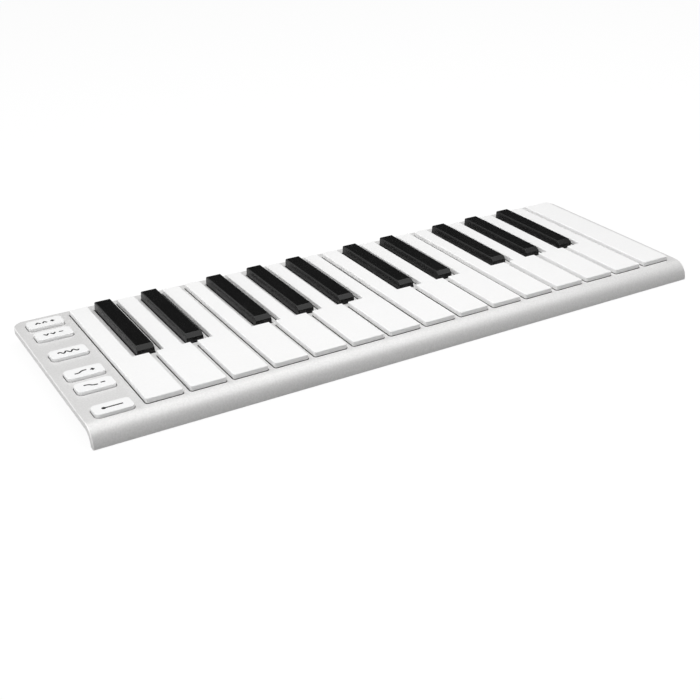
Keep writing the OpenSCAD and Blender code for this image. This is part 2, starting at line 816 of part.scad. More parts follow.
for (i = whites) white_key(i);
for (i = sharps) black_key(i);
for (n = [0 : 5]) push_button(y_buttons[n]);
top_shell();
bottom_tray();
key_rail();
pivot_rod();
return_springs();
up_stop_felt();
down_stop_felt();
sensor_board();
sensor_pads();
button_board();
button_domes();
controller_chips();
ribbon_cable();
usb_socket();
usb_tongue();
rubber_feet();
case_screws();
board_screws();
rail_rivets();
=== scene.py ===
# Looks of a slim keyboard controller with 25 keys and six buttons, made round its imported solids.
import json
import math

import bmesh
import bpy
from mathutils import Matrix, Vector


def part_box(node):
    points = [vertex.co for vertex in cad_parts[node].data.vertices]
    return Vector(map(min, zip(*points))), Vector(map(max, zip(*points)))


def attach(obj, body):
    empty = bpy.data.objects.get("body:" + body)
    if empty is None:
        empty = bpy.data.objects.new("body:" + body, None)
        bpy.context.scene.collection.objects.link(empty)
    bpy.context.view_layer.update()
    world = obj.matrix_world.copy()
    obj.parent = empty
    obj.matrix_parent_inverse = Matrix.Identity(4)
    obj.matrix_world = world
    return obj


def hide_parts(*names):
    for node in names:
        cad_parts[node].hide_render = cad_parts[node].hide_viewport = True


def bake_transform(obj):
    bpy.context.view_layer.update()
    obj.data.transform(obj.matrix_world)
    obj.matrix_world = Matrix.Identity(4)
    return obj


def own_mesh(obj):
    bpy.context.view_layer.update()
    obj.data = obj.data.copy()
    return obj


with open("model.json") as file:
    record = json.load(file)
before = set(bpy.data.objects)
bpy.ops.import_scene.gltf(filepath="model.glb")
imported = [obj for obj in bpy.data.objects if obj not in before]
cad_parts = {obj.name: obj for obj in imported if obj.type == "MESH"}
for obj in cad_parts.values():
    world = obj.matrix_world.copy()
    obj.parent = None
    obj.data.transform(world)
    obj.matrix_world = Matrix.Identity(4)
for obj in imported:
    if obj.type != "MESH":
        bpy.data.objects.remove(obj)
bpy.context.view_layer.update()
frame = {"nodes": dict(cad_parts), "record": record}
scene = bpy.context.scene
scene.view_settings.view_transform = "Standard"

MM = 0.001
NEAR = 0.002 * MM
NODES = frame["nodes"]
PLATE_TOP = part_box("top_shell")[1].z

# Sizes repeated from the part's source
PLATE_THICKNESS = 3.6 * MM
NOSE_RADIUS = 10 * MM
CORNER_RADIUS = 7 * MM
WINDOW_RADIUS = 1.6 * MM
WINDOW_LENGTH = 118.1 * MM
HEAD_LENGTH = 46.15 * MM
FRONT_WEB = 2.8 * MM
WEB = 2.8 * MM
WHITE_GAP = 0.5 * MM
BLACK_GAP = 0.4 * MM
BUTTON_GAP = 0.4 * MM
BUTTON_RIM = 1.3 * MM
BUTTON_RADIUS = 2.4 * MM
SCREW_HEAD_RADIUS = 1.9 * MM
SCREW_HEAD_HEIGHT = 0.8 * MM
SCREW_RADIUS = 1.0 * MM
FOOT_RADIUS = 6 * MM
DOME_FOOT = 3.4 * MM
DOME_CROWN = 2.0 * MM

# Sizes of what is finer here than in the source
DISC_SIDES = 40
NOSE_STEPS = 24
RIM_ROUND = 0.5 * MM
RIM_BAND = 3 * MM
WINDOW_BREAK = 0.08 * MM
BLACK_KEY_ROUND = 0.25 * MM
SCREW_ROUND = 0.25 * MM
SCREW_TIP = 1 * MM
SCREW_TIP_SHARE = 0.5
RECESS_REACH = 1.25 * MM
RECESS_HALF = 0.28 * MM
RECESS_DEPTH = 0.5 * MM
RECESS_TAPER = 0.75
FOOT_ROUND = 0.3 * MM
FOOT_BORDER = 1.1 * MM
FOOT_SLOPE = 0.3 * MM
FOOT_DISH = 0.15 * MM
DOME_FLANGE = 0.3 * MM
SPRING_STEPS = 8
SPRING_ROOT_GAP = 0.1 * MM
INK_THICKNESS = 0.02 * MM

# Angles in degrees: sharp edges, edges of black keys' tops, faces of one flat, turned faces, shading
CREASE = 50
TOP_CREASE = 15
ONE_FLAT = 0.5
TURNED = 2
SMOOTH = 35

# Shares of a face's normal along an axis: facing that way, tops with a painted highlight and the
# rounded rim
FACING = 0.9
HIGHLIT_TOP = 0.66
RIM_LEAN = (0.05, 0.98)

# Names of the pieces, from left to right and from front to rear
LETTERS = "cdefgab"
SHARP_STEPS = (0, 1, 3, 4, 5)
WHITES = [f"key_{LETTERS[i % 7]}{i // 7 + 1}" for i in range(15)]
SHARPS = {i: f"key_{LETTERS[i % 7]}_sharp{i // 7 + 1}" for i in range(14) if i % 7 in SHARP_STEPS}
BUTTONS = ("sustain_button", "pitch_down_button", "pitch_up_button",
           "modulation_button", "octave_down_button", "octave_up_button")


def middle_of(node):
    """The middle of a CAD node, seen from above."""
    low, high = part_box(node)
    return (low.x + high.x) / 2, (low.y + high.y) / 2


# Camera of the photograph
def place_camera():
    yaw = math.radians(31.03)
    pitch = math.radians(27.47)
    place = Vector((-315.5, -502.5, 280.6)) * MM
    bpy.ops.object.camera_add(location=place, rotation=(math.pi / 2 - pitch, 0, -yaw))
    camera = bpy.context.object
    camera.name = "photo_camera"
    camera.data.lens = 56.33
    camera.data.sensor_width = 36
    camera.data.clip_start = 0.01
    scene.camera = camera


place_camera()

# Node helpers, and the sockets of a colour mix
MIX_FACTOR = 0
MIX_A = 6
MIX_B = 7
MIX_RESULT = 2


def put(tree, kind, sockets=None, **properties):
    """Adds a node and sets its properties and its unlinked sockets."""
    made = tree.nodes.new(kind)
    for name, value in properties.items():
        setattr(made, name, value)
    for name, value in (sockets or {}).items():
        made.inputs[name].default_value = value
    return made


def wire(tree, source, output, target, socket):
    tree.links.new(source.outputs[output], target.inputs[socket])


def mixer(tree, colours=None, blend_type="MIX"):
    """A colour mix, with the colours of its unlinked sockets."""
    return put(tree, "ShaderNodeMix", colours, data_type="RGBA", blend_type=blend_type)


def grey(value, warmth=0.0):
    """A neutral colour, a little warm where warmth is above zero."""
    return (value * (1 + warmth), value, value * (1 - warmth), 1)


def spread(tree, source, output, low, high, to_low=0.0, to_high=1.0):
    """Spreads a value's range from low to high over another range."""
    made = put(tree, "ShaderNodeMapRange",
               {"From Min": low, "From Max": high, "To Min": to_low, "To Max": to_high})
    wire(tree, source, output, made, "Value")
    return made


def place_parts(tree):
    """The X, Y and Z of a point in the piece's own coordinates."""
    place = put(tree, "ShaderNodeTexCoord")
    parts = put(tree, "ShaderNodeSeparateXYZ")
    wire(tree, place, "Object", parts, "Vector")
    return parts


def combine(tree, operation, first, first_output, second, second_output, clamp=False):
    """A math operation on the values of two other nodes."""
    made = put(tree, "ShaderNodeMath", operation=operation, use_clamp=clamp)
    wire(tree, first, first_output, made, 0)
    wire(tree, second, second_output, made, 1)
    return made


def per_metre(tree, given, label):
    """The scale of a pattern whose size in metres is a group's input."""
    made = put(tree, "ShaderNodeMath", {0: 1.0}, operation="DIVIDE")
    wire(tree, given, label, made, 1)
    return made


def noise(tree, place, output, scale, look):
    """A noise texture at a place, with a scale from another node."""
    made = put(tree, "ShaderNodeTexNoise", look)
    wire(tree, place, output, made, "Vector")
    wire(tree, scale, "Value", made, "Scale")
    return made


def new_group(name, inputs, outputs):
    """An empty shader group with float sockets, and its input and output nodes."""
    group = bpy.data.node_groups.new(name, "ShaderNodeTree")
    for label, value in inputs:
        socket = group.interface.new_socket(label, in_out="INPUT", socket_type="NodeSocketFloat")
        socket.default_value = value
    for label in outputs:
        group.interface.new_socket(label, in_out="OUTPUT", socket_type="NodeSocketFloat")
    return group, group.nodes.new("NodeGroupInput"), group.nodes.new("NodeGroupOutput")


# Shared effects
def make_grain_group():
    """Fine surface grain of a given size: a height for bumps and a coarser tone for speckle."""
    tree, given, result = new_group("surface_grain", [("Grain Size", 0.4 * MM)], ["Height", "Tone"])
    place = put(tree, "ShaderNodeTexCoord")
    scale = per_metre(tree, given, "Grain Size")
    fine = noise(tree, place, "Object", scale, {"Detail": 3.0, "Roughness": 0.6})
    coarse_scale = put(tree, "ShaderNodeMath", {1: 0.45}, operation="MULTIPLY")
    wire(tree, scale, "Value", coarse_scale, 0)
    coarse = noise(tree, place, "Object", coarse_scale, {"Detail": 2.0, "Roughness": 0.7})
    wire(tree, fine, "Fac", result, "Height")
    wire(tree, spread(tree, coarse, "Fac", 0.32, 0.68), "Result", result, "Tone")
    return tree


def make_streak_group():
    """Fine drawing lines along X: a height for bumps and a tone for colour."""
    tree, given, result = new_group("drawn_streaks", [("Line Width", 0.1 * MM)], ["Height", "Tone"])
    place = put(tree, "ShaderNodeTexCoord")
    stretch = put(tree, "ShaderNodeMapping", {"Scale": (0.02, 1.0, 1.0)})
    wire(tree, place, "Object", stretch, "Vector")
    scale = per_metre(tree, given, "Line Width")
    lines = noise(tree, stretch, "Vector", scale, {"Detail": 3.0, "Roughness": 0.6})
    wire(tree, lines, "Fac", result, "Height")
    wire(tree, spread(tree, lines, "Fac", 0.3, 0.7), "Result", result, "Tone")
    return tree


def make_handling_group():
    """Soft, broad patches where hands have polished or dulled a surface."""
    tree, given, result = new_group("handling", [("Patch Size", 30 * MM)], ["Mask"])
    place = put(tree, "ShaderNodeTexCoord")
    scale = per_metre(tree, given, "Patch Size")
    patches = noise(tree, place, "Object", scale, {"Detail": 4.0, "Roughness": 0.55, "Distortion": 0.4})
    wire(tree, spread(tree, patches, "Fac", 0.35, 0.65), "Result", result, "Mask")
    return tree


def make_track_group():
    """Parallel tracks across Y with a given pitch: a mask that is one on a track."""
    tree, given, result = new_group("parallel_tracks", [("Pitch", 1 * MM), ("Share", 0.5)], ["Mask"])
    count = combine(tree, "DIVIDE", place_parts(tree), "Y", given, "Pitch")
    phase = put(tree, "ShaderNodeMath", operation="FRACT")
    wire(tree, count, "Value", phase, 0)
    track = combine(tree, "LESS_THAN", phase, "Value", given, "Share")
    wire(tree, track, "Value", result, "Mask")
    return tree


def make_gap_shade_group():
    """Painted shade in the narrow gap round a key: a mask that grows from a level downwards."""
    tree, given, result = new_group("painted_gap_shade", [("Level", 10 * MM), ("Depth", 1 * MM)], ["Mask"])
    below = combine(tree, "SUBTRACT", given, "Level", place_parts(tree), "Z")
    share = combine(tree, "DIVIDE", below, "Value", given, "Depth", clamp=True)
    wire(tree, share, "Value", result, "Mask")
    return tree


GRAIN = make_grain_group()
STREAKS = make_streak_group()
HANDLING = make_handling_group()
TRACKS = make_track_group()
GAP_SHADE = make_gap_shade_group()

# Materials, and the attribute that marks faces with a painted highlight
HIGHLIGHT_ATTRIBUTE = "painted_edge_highlight"


def surface(name, light, dark, rough, grain, bump, texture=GRAIN, **constants):
    """A material whose colour is speckled between two tones, whose roughness changes in patches
    and whose grain is a bump. rough is a pair, grain a size and bump a depth in metres."""
    material = bpy.data.materials.new(name)
    material.use_nodes = True
    tree = material.node_tree
    shader = tree.nodes["Principled BSDF"]
    for socket, value in constants.items():
        shader.inputs[socket.replace("_", " ")].default_value = value
    speckle = put(tree, "ShaderNodeGroup", {0: grain}, node_tree=texture)
    tone = mixer(tree, {MIX_A: dark, MIX_B: light})
    wire(tree, speckle, "Tone", tone, MIX_FACTOR)
    wire(tree, tone, MIX_RESULT, shader, "Base Color")
    patches = put(tree, "ShaderNodeGroup", node_tree=HANDLING)
    wire(tree, spread(tree, patches, "Mask", 0.0, 1.0, *rough), "Result", shader, "Roughness")
    dimples = put(tree, "ShaderNodeBump", {"Distance": bump})
    wire(tree, speckle, "Height", dimples, "Height")
    wire(tree, dimples, "Normal", shader, "Normal")
    return material


def lay_colour(material, colour, mask, output):
    """Lays a colour over a material's base colour, where a node's output says so."""
    tree = material.node_tree
    base = tree.nodes["Principled BSDF"].inputs["Base Color"]
    under = base.links[0].from_socket
    layer = mixer(tree, {MIX_B: colour})
    wire(tree, mask, output, layer, MIX_FACTOR)
    tree.links.new(under, layer.inputs[MIX_A])
    tree.links.new(layer.outputs[MIX_RESULT], base)


def lay_over(material, group, values, colour):
    """Lays a colour where a mask group with these values says so."""
    mask = put(material.node_tree, "ShaderNodeGroup", values, node_tree=group)
    lay_colour(material, colour, mask, "Mask")


def paint_edge_highlight(material, colour):
    """Lays a painted highlight colour over the faces that the highlight attribute marks."""
    highlit = put(material.node_tree, "ShaderNodeAttribute", attribute_name=HIGHLIGHT_ATTRIBUTE)
    lay_colour(material, colour, highlit, "Fac")


ALUMINIUM = surface("blasted_aluminium", grey(0.79, 0.006), grey(0.70, 0.006), (0.36, 0.43),
                    0.45 * MM, 0.04 * MM, Metallic=0.13)
# painted highlight: a lighter colour on the rounded rim faces, where the edge catches light
paint_edge_highlight(ALUMINIUM, grey(0.96, 0.006))
WHITE_PLASTIC = surface("white_key_plastic", grey(0.93, 0.002), grey(0.91, 0.002), (0.30, 0.38),
                        0.6 * MM, 0.006 * MM, Specular_IOR_Level=0.35)
# painted shade: the key's sides go near black from just above the plate top downwards
lay_over(WHITE_PLASTIC, GAP_SHADE, {"Level": PLATE_TOP + 0.15 * MM, "Depth": 0.1 * MM}, grey(0.01))
BLACK_PLASTIC = surface("black_key_plastic", grey(0.007), grey(0.004), (0.20, 0.28),
                        0.4 * MM, 0.010 * MM, Specular_IOR_Level=0.25)
# painted highlight: a lighter colour on the rounded top edges that look upwards
paint_edge_highlight(BLACK_PLASTIC, grey(0.03))
BUTTON_PLASTIC = surface("white_button_plastic", grey(0.91), grey(0.89), (0.42, 0.50),
                         0.5 * MM, 0.008 * MM, Specular_IOR_Level=0.35)
# painted shade: the button's sides darken below the plate top
lay_over(BUTTON_PLASTIC, GAP_SHADE, {"Level": PLATE_TOP - 0.1 * MM, "Depth": 0.4 * MM}, grey(0.05))
TRAY_PLASTIC = surface("tray_plastic", grey(0.10), grey(0.075), (0.50, 0.62), 0.7 * MM, 0.06 * MM)
FOOT_RUBBER = surface("foot_rubber", grey(0.04), grey(0.025), (0.72, 0.85), 0.5 * MM, 0.05 * MM)
DARK_PLASTIC = surface("dark_plastic", grey(0.035), grey(0.025), (0.40, 0.52), 0.4 * MM, 0.02 * MM)
STEEL = surface("drawn_steel", grey(0.64), grey(0.52), (0.26, 0.38), 0.1 * MM, 0.006 * MM,
                texture=STREAKS, Metallic=1.0)
TIN_PLATE = surface("tin_plated_steel", grey(0.76), grey(0.68), (0.22, 0.34), 0.3 * MM, 0.004 * MM,
                    Metallic=1.0)
FELT = surface("pressed_felt", (0.50, 0.07, 0.06, 1), (0.30, 0.035, 0.035, 1), (0.9, 0.98),
               0.3 * MM, 0.2 * MM, Sheen_Weight=0.4)
PAD_RUBBER = surface("pad_rubber", grey(0.13), grey(0.10), (0.62, 0.72), 0.4 * MM, 0.03 * MM)
DOME_SILICONE = surface("dome_silicone", grey(0.72), grey(0.64), (0.40, 0.52), 0.6 * MM, 0.01 * MM)
MARK_INK = surface("mark_ink", grey(0.02), grey(0.012), (0.5, 0.6), 0.2 * MM, 0.004 * MM)
BOARD_GREEN = surface("circuit_board_green", (0.025, 0.20, 0.08, 1), (0.02, 0.15, 0.06, 1),
                      (0.26, 0.34), 1.6 * MM, 0.02 * MM)
lay_over(BOARD_GREEN, TRACKS, {"Pitch": 1.6 * MM, "Share": 0.35}, (0.06, 0.32, 0.13, 1))
CABLE_FILM = surface("flat_cable_film", grey(0.78), grey(0.70), (0.35, 0.45), 0.8 * MM, 0.01 * MM)
lay_over(CABLE_FILM, TRACKS, {"Pitch": 0.5 * MM, "Share": 0.55}, grey(0.50, 0.04))

FINISHES = {
    "anodised_aluminium": ALUMINIUM, "white_key": WHITE_PLASTIC, "black_key": BLACK_PLASTIC,
    "white_button": BUTTON_PLASTIC, "tray_plastic": TRAY_PLASTIC, "black_plastic": DARK_PLASTIC,
    "steel": STEEL, "plated_steel": TIN_PLATE, "felt": FELT, "circuit_board": BOARD_GREEN,
    "pad_rubber": PAD_RUBBER, "dome_silicone": DOME_SILICONE, "cable_grey": CABLE_FILM,
    "foot_rubber": FOOT_RUBBER,
}
for subpart in frame["record"]["subparts"]:
    NODES[subpart["node"]].material_slots[0].material = FINISHES[subpart["material_slot"]]


# Modelling helpers
def take(*pieces):
    """Selects only these pieces and makes the first one active."""
    bpy.ops.object.select_all(action="DESELECT")
    for piece in pieces:
        piece.select_set(True)
    bpy.context.view_layer.objects.active = pieces[0]


def settle(name):
    """Names the new primitive and puts its place and size into its mesh."""
    piece = bpy.context.object
    piece.name = name
    take(piece)
    bpy.ops.object.transform_apply(location=True, rotation=True, scale=True)
    return piece


def add_box(name, low, high):
    """A box between two corners."""
    low = Vector(low)
    high = Vector(high)
    bpy.ops.object.select_all(action="DESELECT")
    bpy.ops.mesh.primitive_cube_add(size=1, location=(low + high) / 2)
    bpy.context.object.scale = high - low
    return settle(name)


def add_disc(name, radius, bottom, top):
    """An upright cylinder on the Z axis."""
    bpy.ops.object.select_all(action="DESELECT")
    bpy.ops.mesh.primitive_cylinder_add(vertices=DISC_SIDES, radius=radius, depth=top - bottom,
                                        location=(0, 0, (bottom + top) / 2))
    return settle(name)


def copy_piece(pattern, name, x=0.0, y=0.0):
    """A copy of a piece with its own mesh, set off by x and y."""
    piece = bpy.data.objects.new(name, pattern.data.copy())
    scene.collection.objects.link(piece)
    piece.data.transform(Matrix.Translation((x, y, 0)))
    return piece


def edit(piece, kind, wanted):
    """Opens a piece in edit mode with only the wanted edges or faces selected."""
    take(piece)
    bpy.ops.object.mode_set(mode="EDIT")
    bpy.ops.mesh.select_mode(type=kind)
    bpy.ops.mesh.select_all(action="DESELECT")
    mesh = bmesh.from_edit_mesh(piece.data)
    for item in mesh.edges if kind == "EDGE" else mesh.faces:
        item.select_set(wanted(item))
    bmesh.update_edit_mesh(piece.data)


def close_edit():
    bpy.ops.object.mode_set(mode="OBJECT")


def copy_of(node, name):
    """A merged copy of a CAD node's mesh, with its flat faces whole."""
    piece = copy_piece(NODES[node], name)
    take(piece)
    bpy.ops.mesh.customdata_custom_splitnormals_clear()
    bpy.ops.object.mode_set(mode="EDIT")
    bpy.ops.mesh.select_all(action="SELECT")
    bpy.ops.mesh.remove_doubles(threshold=NEAR / 2)
    bpy.ops.mesh.dissolve_limited(angle_limit=math.radians(ONE_FLAT))
    close_edit()
    return piece


def push(vector):
    """Extrudes what is selected in edit mode."""
    bpy.ops.mesh.extrude_region_move(TRANSFORM_OT_translate={"value": vector})


def looks_up(face):
    return face.normal.z > FACING


def is_upright(edge):
    a, b = (v.co for v in edge.verts)
    return math.hypot(a.x - b.x, a.y - b.y) < NEAR


def is_crease(edge, degrees):
    return len(edge.link_faces) == 2 and edge.calc_face_angle(0) > math.radians(degrees)


def is_below(edge, level):
    return max(v.co.z for v in edge.verts) < level


def round_edges(piece, wanted, radius, segments):
    edit(piece, "EDGE", wanted)
    bpy.ops.mesh.bevel(offset=radius, segments=segments, affect="EDGES", clamp_overlap=False)
    close_edit()


def round_foot(piece, radius):
    """Rounds the sharp edges of a piece's underside."""
    level = min(v.co.z for v in piece.data.vertices) + NEAR

    def is_foot_edge(edge):
        return is_crease(edge, CREASE) and is_below(edge, level)

    round_edges(piece, is_foot_edge, radius, segments=3)


def carve(piece, cutter):
    """Cuts one object out of a piece; the cutter may cross itself."""
    take(piece)
    cut = piece.modifiers.new("cut", "BOOLEAN")
    cut.operation = "DIFFERENCE"
    cut.solver = "EXACT"
    cut.use_self = True
    cut.object = cutter
    bpy.ops.object.modifier_apply(modifier=cut.name)
    bpy.data.objects.remove(cutter)


def join(pieces):
    take(*pieces)
    if len(pieces) > 1:
        bpy.ops.object.join()
    return bpy.context.object


def smooth(piece):
    """Smooth shading on curves, with flat faces kept flat beside them."""
    take(piece)
    bpy.ops.object.shade_smooth_by_angle(angle=math.radians(SMOOTH))
    evened = piece.modifiers.new("evened_normals", "WEIGHTED_NORMAL")
    evened.keep_sharp = True
    bpy.ops.object.modifier_apply(modifier=evened.name)


def mark_painted_highlight(piece, gets_painted_highlight):
    """Marks the faces that get a painted highlight colour."""
    highlit = piece.data.attributes.new(HIGHLIGHT_ATTRIBUTE, "FLOAT", "FACE")
    highlit.data.foreach_set("value", [float(gets_painted_highlight(face)) for face in piece.data.polygons])


def dress(piece, material):
    """Gives a piece its shading, its material and the slot that its finish comes from."""
    smooth(piece)
    piece.data.materials.clear()
    piece.data.materials.append(material)


def finish_piece(piece, material, body):
    dress(piece, material)
    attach(piece, body)


# The plate: a flat with a nose turned down at the front, windows, broken edges and a painted highlight
# along the rim
def rounded_block(low, high, radius):
    block = add_box("window_block", low, high)
    round_edges(block, is_upright, radius, segments=6)
    return block


def window_cutter():
    """Blocks for the windows of all keys and buttons, joined to one cutter."""
    bottom = PLATE_TOP - 2 * PLATE_THICKNESS
    top = PLATE_TOP + PLATE_THICKNESS
    slots = {i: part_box(name) for i, name in SHARPS.items()}
    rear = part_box(WHITES[0])[1].y + WHITE_GAP
    front = rear - WINDOW_LENGTH
    shoulder = front + HEAD_LENGTH
    tail_front = shoulder - 4 * WINDOW_RADIUS
    blocks = []
    for i, name in enumerate(WHITES):
        low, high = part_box(name)
        left = low.x - WHITE_GAP
        right = high.x + WHITE_GAP
        tail_left = slots[i - 1][1].x + BLACK_GAP + WEB if i - 1 in slots else left
        tail_right = slots[i][0].x - BLACK_GAP - WEB if i in slots else right
        blocks.append(rounded_block((left, front, bottom), (right, shoulder, top), WINDOW_RADIUS))
        blocks.append(rounded_block((tail_left, tail_front, bottom), (tail_right, rear, top),
                                    WINDOW_RADIUS))
    for low, high in slots.values():
        blocks.append(rounded_block((low.x - BLACK_GAP, shoulder + FRONT_WEB, bottom),
                                    (high.x + BLACK_GAP, high.y + BLACK_GAP, top), BLACK_GAP))
    spare = BUTTON_RIM - BUTTON_GAP
    for name in BUTTONS:
        low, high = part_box(name)
        blocks.append(rounded_block((low.x + spare, low.y + spare, bottom),
                                    (high.x - spare, high.y - spare, top),
                                    BUTTON_RADIUS + BUTTON_GAP))
    return join(blocks)


def make_plate():
    low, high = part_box("top_shell")
    bend = low.y + NOSE_RADIUS
    axis = high.z - NOSE_RADIUS
    plate = add_box("plate", (low.x, bend, high.z - PLATE_THICKNESS), high)
    # the nose: the open front spun a quarter turn down and drawn on to the lip
    edit(plate, "FACE", lambda face: face.normal.y < -FACING)
    bpy.ops.mesh.delete(type="ONLY_FACE")
    bpy.ops.mesh.select_mode(type="EDGE")
    bpy.ops.mesh.select_all(action="DESELECT")
    bpy.ops.mesh.select_non_manifold()
    bpy.ops.mesh.spin(steps=NOSE_STEPS, angle=-math.pi / 2, center=(0, bend, axis), axis=(1, 0, 0))
    push((0, 0, low.z - axis))
    bpy.ops.mesh.edge_face_add()
    bpy.ops.mesh.select_all(action="SELECT")
    bpy.ops.mesh.remove_doubles(threshold=NEAR)
    bpy.ops.mesh.normals_make_consistent(inside=False)
    close_edit()

    def is_rear_corner(edge):
        return is_upright(edge) and edge.verts[0].co.y > high.y - NEAR

    def on_skin(point):
        """True on the flat top, the round of the nose and the front of the lip."""
        if point.y > bend - NEAR:
            return point.z > high.z - NEAR
        if point.z > axis - NEAR:
            return math.hypot(point.y - bend, point.z - axis) > NOSE_RADIUS - NEAR
        return point.y < low.y + NEAR

    def is_rim(edge):
        at_lip = is_below(edge, low.z + NEAR)
        return all(on_skin(v.co) for v in edge.verts) and is_crease(edge, CREASE) and not at_lip

    def by_rim(point):
        return abs(point.x) > high.x - RIM_BAND or point.y > high.y - RIM_BAND

    def is_window_edge(edge):
        at_top = all(v.co.z > high.z - RIM_ROUND and not by_rim(v.co) for v in edge.verts)
        return at_top and is_crease(edge, CREASE)

    def gets_rim_highlight(face):
        """True on the rounded faces along the rim, which get a painted highlight, and not on the flats,
        the nose or in the windows.
        """
        lean = face.normal.z if face.center.y > bend else abs(face.normal.x)
        return by_rim(face.center) and RIM_LEAN[0] < lean < RIM_LEAN[1]

    round_edges(plate, is_rear_corner, CORNER_RADIUS, segments=12)
    round_edges(plate, is_rim, RIM_ROUND, segments=4)
    carve(plate, window_cutter())
    round_edges(plate, is_window_edge, WINDOW_BREAK, segments=2)
    # the rounded rim faces get a painted highlight
    mark_painted_highlight(plate, gets_rim_highlight)
    finish_piece(plate, ALUMINIUM, "case")
    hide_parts("top_shell")


make_plate()


# Black keys: the moulded shapes with their upper edges rounded, and a painted highlight on those that
# look upwards
def make_black_key(node):
    piece = copy_of(node, node.replace("key", "black_key", 1))
    flats = [face.normal.copy() for face in piece.data.polygons]

    def is_top_edge(edge):
        return max(v.co.z for v in edge.verts) > PLATE_TOP + MM and is_crease(edge, TOP_CREASE)

    def gets_painted_highlight(face):
        """True on the new, rounded faces that look upwards, which get a painted highlight."""
        turned = min(face.normal.angle(flat) for flat in flats)
        return face.normal.z > HIGHLIT_TOP and turned > math.radians(TURNED)

    round_edges(piece, is_top_edge, BLACK_KEY_ROUND, segments=3)
    # the upward rounded edges get a painted highlight
    mark_painted_highlight(piece, gets_painted_highlight)
    finish_piece(piece, BLACK_PLASTIC, node)
    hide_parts(node)


for sharp in SHARPS.values():
    make_black_key(sharp)


# Plain marks printed on the buttons, drawn in millimetres from the button's middle
STROKE_WIDTH = 1.0
MITRE_LIMIT = 0.4
DOT_SIDES = 24
CHEVRON_PLACES = (-4.0, -0.2)
CHEVRON_HALF = 1.4
CHEVRON_RISE = 0.8
SIGN_HALF = 1.2
SIGN_PLACE = 4.2
BEND_START = -5.4
BEND_LENGTH = 6.8
BEND_RISE = 0.9
BEND_STEEPNESS = 7
BEND_STEPS = 16
BEND_SIGN_PLACE = 4.3
WAVE_START = -5.6
WAVE_LENGTH = 11.2
WAVE_TURNS = 3
WAVE_STEPS = 48
NOTE_START = -4.4
NOTE_END = 5.4
NOTE_RADIUS = 1.1


def stroke(points):
    """A flat band along points."""
    count = len(points)
    bpy.ops.object.select_all(action="DESELECT")
    bpy.ops.mesh.primitive_grid_add(x_subdivisions=count - 1, y_subdivisions=1, size=1)
    band = settle("stroke")
    path = [Vector(p) for p in points]
    for vertex in band.data.vertices:
        i = round((vertex.co.x + 0.5) * (count - 1))
        before = (path[i] - path[max(i - 1, 0)]).normalized()
        after = (path[min(i + 1, count - 1)] - path[i]).normalized()
        along = (before + after).normalized()
        across = Vector((-along.y, along.x))
        lean = max(along.dot(after), along.dot(before), MITRE_LIMIT)
        side = math.copysign(STROKE_WIDTH / 2 / lean, vertex.co.y)
        place = path[i] + across * side
        vertex.co = Vector((place.x, place.y, 0)) * MM
    return band


def dot(u, v, radius):
    bpy.ops.object.select_all(action="DESELECT")
    bpy.ops.mesh.primitive_circle_add(vertices=DOT_SIDES, radius=radius * MM, fill_type="NGON",
                                      location=(u * MM, v * MM, 0))
    return settle("dot")


def chevrons(rise):
    """Two arrow heads that point up, or down where the rise is below zero."""
    return [stroke([(u - CHEVRON_HALF, -rise), (u, rise), (u + CHEVRON_HALF, -rise)])
            for u in CHEVRON_PLACES]


def minus(u):
    return [stroke([(u - SIGN_HALF, 0), (u + SIGN_HALF, 0)])]


def plus(u):
    return minus(u) + [stroke([(u, -SIGN_HALF), (u, SIGN_HALF)])]


def shares(count):
    """Even steps from zero to one."""
    return [n / count for n in range(count + 1)]


def bent_line(rise):
    """A level line that bends up or down and runs on level."""
    return [stroke([(BEND_START + BEND_LENGTH * t, rise * math.tanh(BEND_STEEPNESS * (t - 0.5)))
                    for t in shares(BEND_STEPS)])]


def wave():
    return [stroke([(WAVE_START + WAVE_LENGTH * t, math.sin(2 * math.pi * WAVE_TURNS * t))
                    for t in shares(WAVE_STEPS)])]


def held_note():
    return [dot(NOTE_START, 0, NOTE_RADIUS), stroke([(NOTE_START, 0), (NOTE_END, 0)])]


MARKS = {
    "sustain_button": held_note,
    "pitch_down_button": lambda: bent_line(-BEND_RISE) + minus(BEND_SIGN_PLACE),
    "pitch_up_button": lambda: bent_line(BEND_RISE) + plus(BEND_SIGN_PLACE),
    "modulation_button": wave,
    "octave_down_button": lambda: chevrons(-CHEVRON_RISE) + minus(SIGN_PLACE),
    "octave_up_button": lambda: chevrons(CHEVRON_RISE) + plus(SIGN_PLACE),
}


def make_mark(button):
    mark = join(MARKS[button]())
    mark.name = button.replace("button", "mark")
    mark.data.transform(Matrix.Translation((*middle_of(button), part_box(button)[1].z)))
    film = mark.modifiers.new("film", "SOLIDIFY")
    film.thickness = INK_THICKNESS
    film.offset = 1
    take(mark)
    bpy.ops.object.modifier_apply(modifier=film.name)
    finish_piece(mark, MARK_INK, button)


for button_name in BUTTONS:
    make_mark(button_name)


# Case screws and feet under the tray, modelled once and set out
def places_of(node):
    """Middles, seen from above, of the separate solids of a CAD node."""
    mesh = bmesh.new()
    mesh.from_mesh(NODES[node].data)
    bmesh.ops.remove_doubles(mesh, verts=mesh.verts, dist=NEAR / 2)
    left = set(mesh.verts)
    middles = []
    while left:
        island = {left.pop()}
        edge_of_island = list(island)
        while edge_of_island:
            vertex = edge_of_island.pop()
            for link in vertex.link_edges:
                other = link.other_vert(vertex)
                if other in left:
                    left.remove(other)
                    island.add(other)
                    edge_of_island.append(other)
        xs = [v.co.x for v in island]
        ys = [v.co.y for v in island]
        middles.append(((min(xs) + max(xs)) / 2, (min(ys) + max(ys)) / 2))
    mesh.free()
    return sorted(middles)


def set_out(pattern, name, node, material):
    """Copies a piece from the origin to the places of a CAD node's solids and replaces the node."""
    piece = join([copy_piece(pattern, name, x, y) for x, y in places_of(node)])
    bpy.data.objects.remove(pattern)
    finish_piece(piece, material, "case")
    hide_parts(node)


